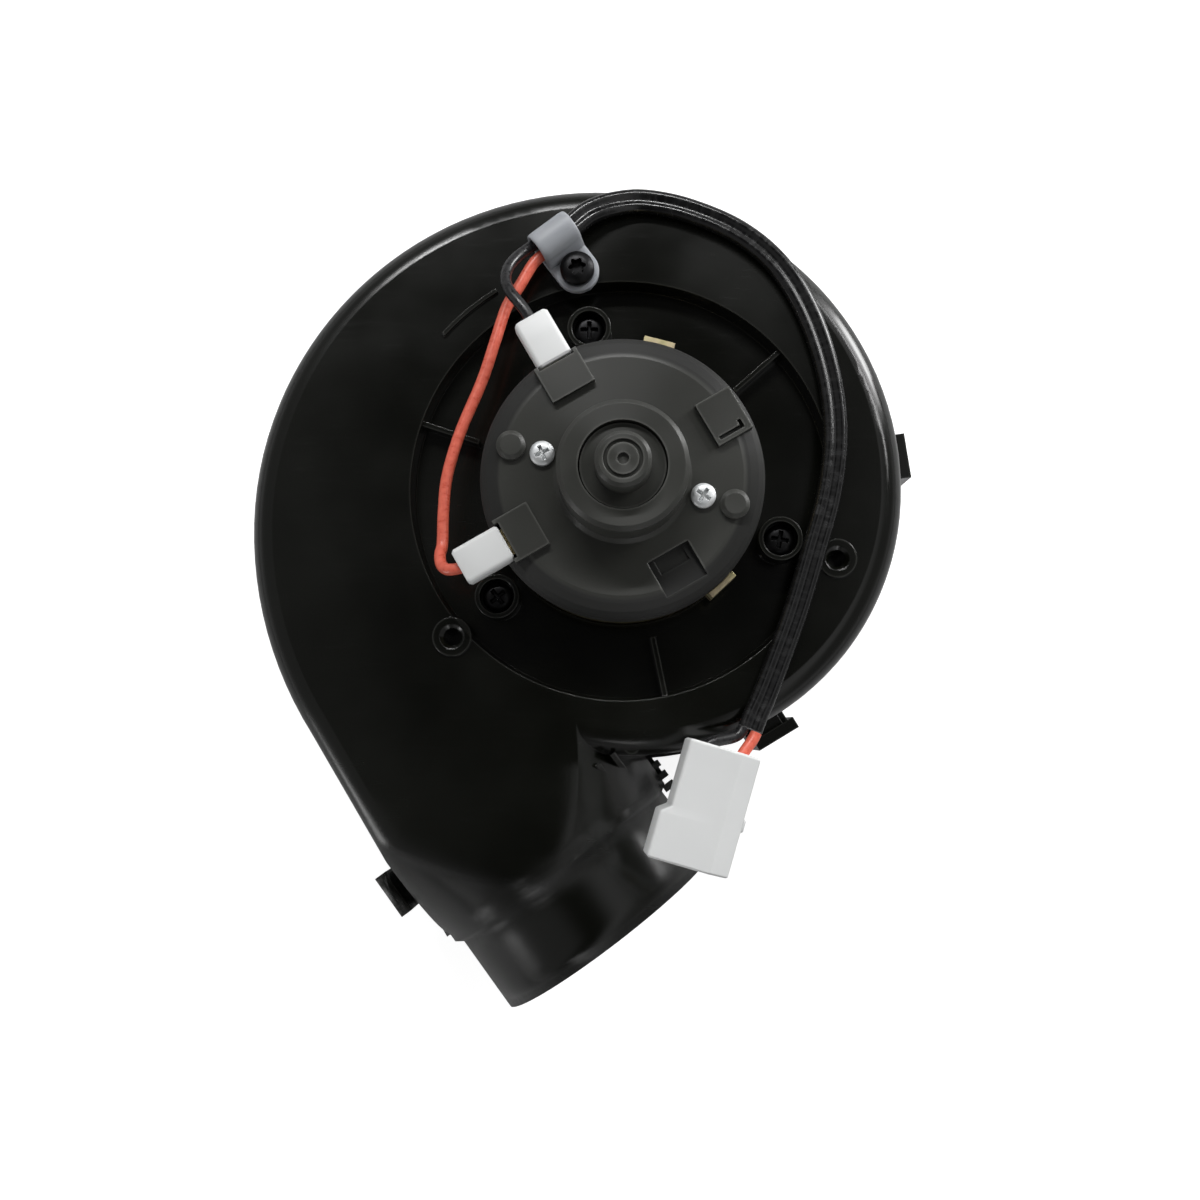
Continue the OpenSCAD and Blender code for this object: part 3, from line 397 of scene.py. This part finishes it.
carbon_stock = moulded("carbon_stock", (0.02, 0.02, 0.021), (0.05, 0.05, 0.052), 0.5, 0.7, 2200, 0.02, 0.1)
ferrite = moulded("ferrite", (0.05, 0.048, 0.048), (0.085, 0.08, 0.08), 0.5, 0.68, 1600, 0.02, 0.15)


def insulated(name, dark, light, rough, lines, depth=0.012):
    """Wire insulation on the piece's own UV map: fine lines drawn along it, faint marks round it."""
    mat = finish(name, light, rough)
    drawn = spots(mat, 6, 3.0, 0.6, (lines, 0.6, 1), "UV")
    marks = spots(mat, 4, 4.0, 0.6, (1, 1.6, 1), "UV")
    feed(mat, Base_Color=shades(mat, marks, (0.35, dark), (0.65, light)))
    feed(mat, Roughness=between(mat, marks, rough - 0.08, rough + 0.1))
    relief(mat, drawn, depth, 0.35)
    return mat


red_jacket = insulated("red_jacket", (0.66, 0.112, 0.068), (0.80, 0.165, 0.105), 0.34, 3)
black_jacket = insulated("black_jacket", (0.008, 0.008, 0.009), (0.014, 0.014, 0.015), 0.30, 3)
black_sleeve = insulated("black_sleeve", (0.004, 0.004, 0.0042), (0.007, 0.007, 0.0074), 0.20, 2, 0.002)

CAD_FINISH = {
    housing_black: ["rear_housing", "front_housing"], cap_black: ["end_cap", "bearing_cap", "cap_plugs"],
    wheel_black: ["fan_wheel", "blade_ring"], yellow_zinc: ["motor_can", "motor_flange"], ferrite: ["magnets"],
    sintered_bronze: ["front_bearing", "rear_bearing"], carbon_stock: ["brushes"], lamination: ["armature_core"],
    stamped_brass: ["brush_holders", "spade_terminals", "receptacles", "plug_contacts", "thrust_washers"],
    winding_copper: ["windings"], bar_copper: ["commutator"], ground_steel: ["brush_springs", "shaft", "wheel_clip"],
    black_oxide: ["motor_screws", "p_clip_screw"], bright_zinc: ["cap_screws"], clip_nylon: ["p_clip"],
    white_nylon: ["terminal_sleeves", "plug_housing"], red_jacket: ["red_lead", "red_tail"],
    black_jacket: ["black_lead", "black_tail"], black_sleeve: ["cable"],
}
for mat, names in CAD_FINISH.items():
    for name in names:
        nodes[name].data.materials.clear()
        nodes[name].data.materials.append(mat)


def dress(piece, mat, slot, *stands_for, body="housing"):
    """Gives a piece its finish, sets it on its body, and hides the solids that it stands for."""
    piece.data.materials.append(mat)
    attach(piece, body)
    if stands_for:
        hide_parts(*stands_for)
    return piece


def heading(angle):
    """The unit step in the XY plane at an angle in degrees."""
    return np.array([np.cos(np.radians(angle)), np.sin(np.radians(angle))])


clip_at = MOUNT_R * heading(SCREW_ANGLES[0])
clip_mid = clip_at + CLIP_REACH * heading(CLIP_TURN)
clip_dir = heading(CLIP_TURN - 90)


def clip_spot(along, side):
    """A point in the clip, so far along the wires and so far to their right."""
    return [*(clip_mid + along * clip_dir + side * np.array([clip_dir[1], -clip_dir[0]])), WIRE_Z]


def term_spot(angle, out):
    """A point on a terminal's centre line, so far outside the can."""
    return [*((CAN_R + out) * heading(angle)), TERM_Z]


def plug_spot(x, y, z):
    """A point in the plug's own frame."""
    return turned([x, y, z], PLUG_TURN, PLUG_TOP)


# Cords: the sleeved cable with its plug, and the two leads to the terminals.
low = DEPTH + 0.15 + CABLE / 2
cable_route = [
    clip_spot(0.2, 0), clip_spot(2, 0), clip_spot(5.4, 0), [-7.2, 63.6, low + 2], [-1.6, 66, low + 0.8],
    [5.6, 66.8, low], [15.6, 64.6, low], [27, 59.4, low], [36.1, 51.4, low], [42.7, 40.1, low],
    [47, 26.2, low], [48.4, 12.4, low], [46.8, -1.3, low + 0.2], [43, -14.6, low + 0.5],
    [38.8, -28.3, low], [33.8, -41.6, low], [31.2, -48, low], [29.7, -51.2, low + 0.25],
    [28.3, -54.6, low + 0.65]]
red_route = [
    term_spot(TERMS[1], 7.2), term_spot(TERMS[1], 8.9), [-36.5, -20.3, TERM_Z - 0.3],
    [-38.3, -20.1, TERM_Z - 1.3], [-39.5, -18.9, TERM_Z - 2.5], [-40, -16.6, TERM_Z - 4.1],
    [-39.7, -13.8, TERM_Z - 5.6], [-39.6, -6.7, TERM_Z - 6], [-38.9, 1.4, TERM_Z - 6.3],
    [-36.1, 11.4, TERM_Z - 6.6], [-31.4, 23.2, TERM_Z - 7.1], [-28.4, 33.1, TERM_Z - 7.7],
    [-26.1, 40.6, TERM_Z - 8.3], [-23.1, 45.9, TERM_Z - 8.8], [-20.1, 51.1, TERM_Z - 9.2],
    clip_spot(-3, CABLE / 2), clip_spot(0, CABLE / 2)]
black_route = [
    term_spot(TERMS[0], 7.2), term_spot(TERMS[0], 9.2), [-21.3, 36.9, TERM_Z - 0.1],
    [-23, 39.3, TERM_Z - 0.6], [-24.9, 42, TERM_Z - 1.7], [-26, 45, TERM_Z - 3.3],
    [-25.7, 48.4, TERM_Z - 5.2], [-23.9, 51.6, TERM_Z - 7.1], [-21.3, 54.3, TERM_Z - 8.6],
    clip_spot(-3, -CABLE / 2), clip_spot(0, -CABLE / 2)]


def two_lobes(t, count=40):
    """Two round wires under one sleeve: half width t times the cosine, and a height that dips to a waist midway."""
    a = np.linspace(0, 2 * np.pi, count, endpoint=False)
    x = t * np.cos(a)
    across = np.abs(x) / (t / 2) - 1
    y = np.sign(np.sin(a)) * t / 2 * np.sqrt(np.clip(1 - across**2, 0, 1))
    waist = np.sign(np.sin(a)) * t * 0.36
    filled = np.sign(waist) * np.maximum(np.abs(y), np.abs(waist))
    return np.stack([x, np.where(np.abs(x) < t / 2, filled, y)], axis=1)


def wire(name, route, section, steps, count):
    """A smooth wire: the section carried along the evenly spaced route."""
    path = even(flowing(route, steps), count)
    long = float(np.linalg.norm(np.diff(path, axis=0), axis=1).sum())
    piece = skin(name, carried(path, section), size=(1.0, long / 10))
    return piece, (path * MM).tolist(), long * MM


cable, cable_path, cable_long = wire("sleeved_cable", cable_route, two_lobes(CABLE), 24, 220)
dress(cable, black_sleeve, "black_wire", "cable")
red, red_path, red_long = wire("red_lead_wire", red_route, circle(LEAD / 2, 24), 16, 140)
dress(red, red_jacket, "red_wire", "red_lead")
black, black_path, black_long = wire("black_lead_wire", black_route, circle(LEAD / 2, 24), 16, 80)
dress(black, black_jacket, "black_wire", "black_lead")

stop = np.array(cable_route[-1])
aim = (stop - np.array(cable_route[-2])) / np.linalg.norm(stop - np.array(cable_route[-2]))
aside = np.cross([0, 0, 1], aim)
aside /= np.linalg.norm(aside)


def bowed(a, b, c, d, count):
    """Cubic Bezier curve: each point is the mean of the four given ones, weighted by the terms of ((1 - t) + t)**3."""
    t = np.linspace(0, 1, count)[:, None]
    return a * (1 - t)**3 + 3 * b * t * (1 - t)**2 + 3 * c * t * t * (1 - t) + d * t**3


TAILS = (("red_tail_wire", 1, (3.0, 3.5), red_jacket, "red_wire", "red_tail"),
         ("black_tail_wire", -1, (4.5, 5.0), black_jacket, "black_wire", "black_tail"))
for name, side, ease, mat, slot, solid in TAILS:
    start = stop + 0.3 * aim + side * (CABLE / 2 + 0.1) * aside
    bow = bowed(start, start + ease[0] * aim, plug_spot(side * WAY, ease[1] - TAIL_IN, 0),
                plug_spot(side * WAY, -TAIL_IN, 0), 24)
    tail = wire(name, [*bow, plug_spot(side * WAY, -TAIL_IN - 1.6, 0)], circle(LEAD / 2, 20), 4, 32)[0]
    dress(tail, mat, slot, solid)


# Plug: a two-way connector shell with a sloping right side, a step, a mouth with a dividing wall, and a side key.
def plug_piece(name, rings, mat=white_nylon, slot="white_nylon"):
    """A piece of the plug, laid out in the plug's own frame and turned to where it lies."""
    n, m = np.asarray(rings).shape[:2]
    placed = turned(np.asarray(rings).reshape(-1, 3), PLUG_TURN, PLUG_TOP).reshape(n, m, 3)
    return dress(skin(name, placed), mat, slot, "plug_housing")


def sides(corners, radius, count=5):
    """A polygon with round corners: at each corner a circle's arc that touches both sides."""
    c = np.asarray(corners, float)
    before, after = np.roll(c, 1, axis=0) - c, np.roll(c, -1, axis=0) - c
    before, after = (v / np.linalg.norm(v, axis=1)[:, None] for v in (before, after))
    half = np.arccos(np.clip((before * after).sum(axis=1), -1, 1)) / 2
    inward = (before + after) / np.linalg.norm(before + after, axis=1)[:, None]
    middle = c + inward * (radius / np.sin(half))[:, None]
    start = np.arctan2(*(c + before * (radius / np.tan(half))[:, None] - middle).T[::-1])
    t = start[:, None] + np.linspace(0, 1, count)[None, :] * (np.pi - 2 * half)[:, None]
    arcs = np.stack([middle[:, :1] + radius * np.cos(t), middle[:, 1:] + radius * np.sin(t)], axis=2)
    return arcs.reshape(-1, 2)


def plug_ring(y, left, inset, radius):
    """One outline of the plug: a box whose right side slopes down, drawn in by inset."""
    right, rise, (wide, drop) = PLUG_HALF, PLUG_RISE, PLUG_SLOPE
    flat = np.array([[-left, -rise], [right, -rise], [right, rise - drop], [right - wide, rise], [-left, rise]])
    flat = sides(np.sign(flat) * (np.abs(flat) - inset), radius)
    return np.stack([flat[:, 0], np.full(len(flat), y), flat[:, 1]], axis=1)


def mouth_ring(y, half_x, half_z):
    """One outline of the room inside the plug, with as many corners as the outside has."""
    flat = sides([[-half_x, -half_z], [half_x, -half_z], [half_x, half_z], [half_x / 3, half_z + 0.05],
                  [-half_x, half_z]], 0.25)
    return np.stack([flat[:, 0], np.full(len(flat), y), flat[:, 1]], axis=1)


plug_piece("plug_shell", [
    plug_ring(0.0, PLUG_HALF, 1.4, 0.4), plug_ring(0.0, PLUG_HALF, 0.45, 0.6), plug_ring(-0.45, PLUG_HALF, 0.0, 0.7),
    plug_ring(-8.0, PLUG_HALF, 0.0, 0.7), plug_ring(-14.9, PLUG_HALF, 0.0, 0.7), plug_ring(-15.2, 8.35, 0.0, 0.7),
    plug_ring(-16.6, 10.2, 0.0, 0.7), plug_ring(-17.0, PLUG_FOOT, 0.0, 0.7), plug_ring(-26.6, PLUG_FOOT, 0.0, 0.7),
    plug_ring(-PLUG_LEN, PLUG_FOOT, 0.4, 0.6), mouth_ring(-PLUG_LEN, 7.8, 2.2),
    mouth_ring(-PLUG_LEN + 0.5, 7.7, 2.0), mouth_ring(-12.0, 7.7, 2.0)])
plug_piece("plug_divider", lofted([(-12.5, 0, 0, 0.55, 2.1, 0.2), (-26.4, 0, 0, 0.55, 2.1, 0.2)]))
plug_piece("plug_side_key", lofted([
    (-13.7, PLUG_HALF, 0, 0.4, 1.1, 0.2), (-14.1, 8.35, 0, 0.6, 1.5, 0.3), (-16.3, 8.35, 0, 0.6, 1.5, 0.3),
    (-16.7, PLUG_HALF, 0, 0.4, 1.1, 0.2)]))


# White sleeves on the two spade connectors.
def spade_sleeve(name, angle):
    """A nylon sleeve along a terminal: rounded rectangles with bevelled ends and a round mouth for the wire."""
    start = CAN_R - 1.4
    rings = lofted([
        (start, 0, 0, 3.7, 2.4, 0.7), (start + 0.5, 0, 0, 4.1, 2.8, 1.0), (start + 6.0, 0, 0, 4.1, 2.8, 1.0),
        (start + 10.7, 0, 0, 4.1, 2.8, 1.0), (start + 11.3, 0, 0, 3.6, 2.4, 0.8),
        (start + 11.3, 0, 0, 1.9, 1.9, 1.85), (start + 8.8, 0, 0, 1.6, 1.6, 1.55)])[::-1]
    n, m = rings.shape[:2]
    placed = turned(rings.reshape(-1, 3), (0, 0, angle - 90), (0, 0, TERM_Z)).reshape(n, m, 3)
    dress(skin(name, placed), white_nylon, "white_nylon", "terminal_sleeves")


spade_sleeve("black_lead_sleeve", TERMS[0])
spade_sleeve("red_lead_sleeve", TERMS[1])


# Cable clip: one strap folded round the wires, its two tails under the screw.
def clip_strap():
    """A flat section carried along the strap: out along the lower tail, round the loop, back along the upper one.

    The half width is a circle's at the lug end, and full from the screw to the loop.
    """
    reach, wide, t = CLIP_REACH, CLIP_HALF, CLIP_T
    loop_r, rise = CABLE + 0.25 + CLIP_T / 2, CABLE + 0.25 + CLIP_T
    a = np.linspace(-np.pi / 2, np.pi * 0.98, 60)
    lower = np.stack([np.linspace(-wide, reach - 0.4, 40), np.full(40, t / 2)], axis=1)
    loop = np.stack([reach + loop_r * np.cos(a), rise + loop_r * np.sin(a)], axis=1)
    end = loop[-1]
    bend = np.linspace(0, 1, 14)[1:, None]
    down = end + bend * (np.array([reach - 4.6, t * 1.5 + 0.1]) - end)
    upper = np.stack([np.linspace(reach - 5.2, -wide, 40), np.full(40, t * 1.5 + 0.1)], axis=1)
    flat = np.vstack([lower, loop, down, upper])
    half = np.sqrt(np.clip(wide**2 - np.clip(flat[:, 0], -wide, 0) ** 2, 0.05, None))
    path = np.stack([flat[:, 0], np.zeros(len(flat)), flat[:, 1]], axis=1)
    path = turned(path, (0, 0, CLIP_TURN), (*clip_at, CLIP_Z))
    across = turned([[0, 1, 0]], (0, 0, CLIP_TURN), (0, 0, 0))[0]
    ring = rounded(t / 2, 1.0, 0.3)
    thick = np.broadcast_to(ring[:, 0], (len(flat), len(ring)))
    section = np.stack([thick, half[:, None] * ring[None, :, 1]], axis=2)
    return dress(skin("cable_clip", carried(path, section, across)), clip_nylon, "natural_nylon", "p_clip")


clip_strap()


# Screw heads: a domed disc whose top is pressed in by the driver recess.
def screw(name, place, head, height, dome, shank, length, recess, depth, mat, slot, stands_for, turn=0.0):
    """Rings from the middle outwards, with the height lowered where recess(x, y) is below nought, then the shank."""
    r = np.concatenate([np.linspace(0.001, head * 0.8, 34), head * np.array([0.88, 0.94, 0.98, 1.0])])[:, None]
    t = np.linspace(0, 2 * np.pi, 120, endpoint=False)[None, :]
    x, y = r * np.cos(t), r * np.sin(t)
    top = height - dome * (r / head) ** 4 + 0 * t
    press = np.clip(0.5 - recess(x, y) / 0.22, 0, 1)
    top = top - depth * press * press * (3 - 2 * press)
    rows = [np.stack([x, y, top], axis=2)]
    for radius, z in ((head, 0.15), (head - 0.15, 0.0), (shank, 0.0), (shank, -length)):
        rows.append(np.stack([radius * np.cos(t), radius * np.sin(t), 0 * t + z], axis=2))
    rings = np.concatenate(rows)[::-1]
    n, m = rings.shape[:2]
    placed = turned(rings.reshape(-1, 3), (0, 0, turn), place).reshape(n, m, 3)
    return dress(skin(name, placed, sharp=50), mat, slot, stands_for)


def cross(half, reach):
    """Distance to a cross of two bars, each of that half width and reach, with square ends."""
    def distance(x, y):
        bar_x = np.maximum(np.abs(y) - half, np.abs(x) - reach)
        bar_y = np.maximum(np.abs(x) - half, np.abs(y) - reach)
        return np.minimum(bar_x, bar_y)
    return distance


def six_lobes(radius):
    """Distance to a six-lobed star: the radius swings by the cosine of six times the angle."""
    return lambda x, y: np.hypot(x, y) - radius * (0.84 + 0.16 * np.cos(6 * np.arctan2(y, x)))


def ring_spot(radius, angle, z):
    """A point at a radius and angle round the motor axis."""
    return (*(radius * heading(angle)), z)


for k, angle in enumerate(CAP_SCREWS):
    screw(f"cap_screw_{k + 1}", ring_spot(CAP_SCREW_R, angle, CAP_Z), 2.7, 1.8, 0.7, 1.5, 7.5,
          cross(0.3, 1.55), 0.95, bright_zinc, "zinc_screw", "cap_screws", 25 + 31 * k)
for k, angle in enumerate(SCREW_ANGLES):
    screw(f"motor_screw_{k + 1}", ring_spot(MOTOR_SCREW_R, angle, DEPTH - 2), 3.5, 2.4, 0.9, 1.95, 7.8,
          cross(0.38, 1.9), 1.3, black_oxide, "black_screw", "motor_screws", 40 * k)
screw("clip_screw", ring_spot(MOUNT_R, SCREW_ANGLES[0], CLIP_Z + 2 * CLIP_T + 0.1), 3.9, 2.8, 1.1, 1.85, 9.0,
      six_lobes(1.9), 1.7, black_oxide, "black_screw", "p_clip_screw", 10)


# Stage: pale floor, a dark sky that pales to both sides and at the horizon, and soft lamps as in the photograph.
FLOOR_HALF, FLOOR_Z, FLOOR_GLOW = 3000, -0.05, 0.85


def floor():
    """A flat square under the inlet face, white to the camera and keeping the blower's shadow."""
    x = np.linspace(-FLOOR_HALF, FLOOR_HALF, 3)
    grid = np.stack([*np.meshgrid(x, x, indexing="ij"), np.full((3, 3), FLOOR_Z)], axis=2)[:, ::-1]
    piece = skin("floor", grid, ends=False, wrap=False)
    mat = finish("floor_white", (0.60, 0.60, 0.60), 0.8)
    shader, out = mat.node_tree.nodes["Principled BSDF"], mat.node_tree.nodes["Material Output"]
    shader.inputs["Specular IOR Level"].default_value = 0.0
    glow = node(mat, "ShaderNodeEmission", Strength=FLOOR_GLOW)
    both = node(mat, "ShaderNodeAddShader")
    path = node(mat, "ShaderNodeLightPath")
    pick = node(mat, "ShaderNodeMixShader")
    join(mat, shader.outputs[0], both.inputs[0])
    join(mat, glow.outputs[0], both.inputs[1])
    join(mat, path.outputs["Is Camera Ray"], pick.inputs[0])
    join(mat, shader.outputs[0], pick.inputs[1])
    join(mat, both.outputs[0], pick.inputs[2])
    join(mat, pick.outputs[0], out.inputs["Surface"])
    piece.data.materials.append(mat)


floor()
world = bpy.data.worlds.new("studio")
bpy.context.scene.world = world
world.use_nodes = True
where = node(world, "ShaderNodeTexCoord")
toward = node(world, "ShaderNodeSeparateXYZ")
join(world, where.outputs["Generated"], toward.inputs[0])
sky = added(world, between(world, toward.outputs["X"], 0.03, 0.60, 0.12, 0.36),
            between(world, toward.outputs["X"], 0.22, 0.0, -0.36, -0.10))
sky = added(world, sky, between(world, toward.outputs["X"], 0.0, -0.40, 0.42, 0.66))
sky = added(world, sky, between(world, toward.outputs["Z"], 0.30, 0.0, 0.05, 0.36))
camera_ray = node(world, "ShaderNodeLightPath").outputs["Is Camera Ray"]
join(world, added(world, sky, camera_ray, "MAXIMUM"), world.node_tree.nodes["Background"].inputs["Strength"])
world.node_tree.nodes["Background"].inputs["Color"].default_value = (1, 1, 1, 1)


def softbox(name, place, target, size, watts, up=(0.3, 1, 0.2)):
    """A rectangular lamp at place, facing target, both in millimetres; its first side lies across up."""
    data = bpy.data.lights.new(name, "AREA")
    data.shape, data.size, data.size_y, data.energy = "RECTANGLE", size[0] * MM, size[1] * MM, watts
    lamp = bpy.data.objects.new(name, data)
    place, target = np.array(place, float) * MM, np.array(target, float) * MM
    back = (place - target) / np.linalg.norm(place - target)
    right = np.cross(up, back)
    right /= np.linalg.norm(right)
    turn = np.eye(4)
    turn[:3, :4] = np.stack([right, np.cross(back, right), back, place], axis=1)
    lamp.matrix_world = Matrix(turn.tolist())
    bpy.context.scene.collection.objects.link(lamp)


softbox("upper_left_strip", (-90, 605, 715), (-10, 0, 60), (560, 40), 4.7, (0, 0, 1))
softbox("right_strip", (520, 350, 520), (20, 0, 60), (420, 45), 0.9, (0, 0, 1))
softbox("right_softbox", (560, 400, 300), (0, -10, 40), (300, 240), 1.5)
softbox("low_right_softbox", (520, 385, 170), (0, -60, 40), (260, 150), 1.3)
softbox("near_strip", (80, -680, 330), (0, -10, 60), (320, 90), 0.25)
softbox("low_left_softbox", (-520, -385, 130), (-20, -60, 40), (260, 120), 0.5)
bpy.context.scene.view_settings.view_transform = "Standard"
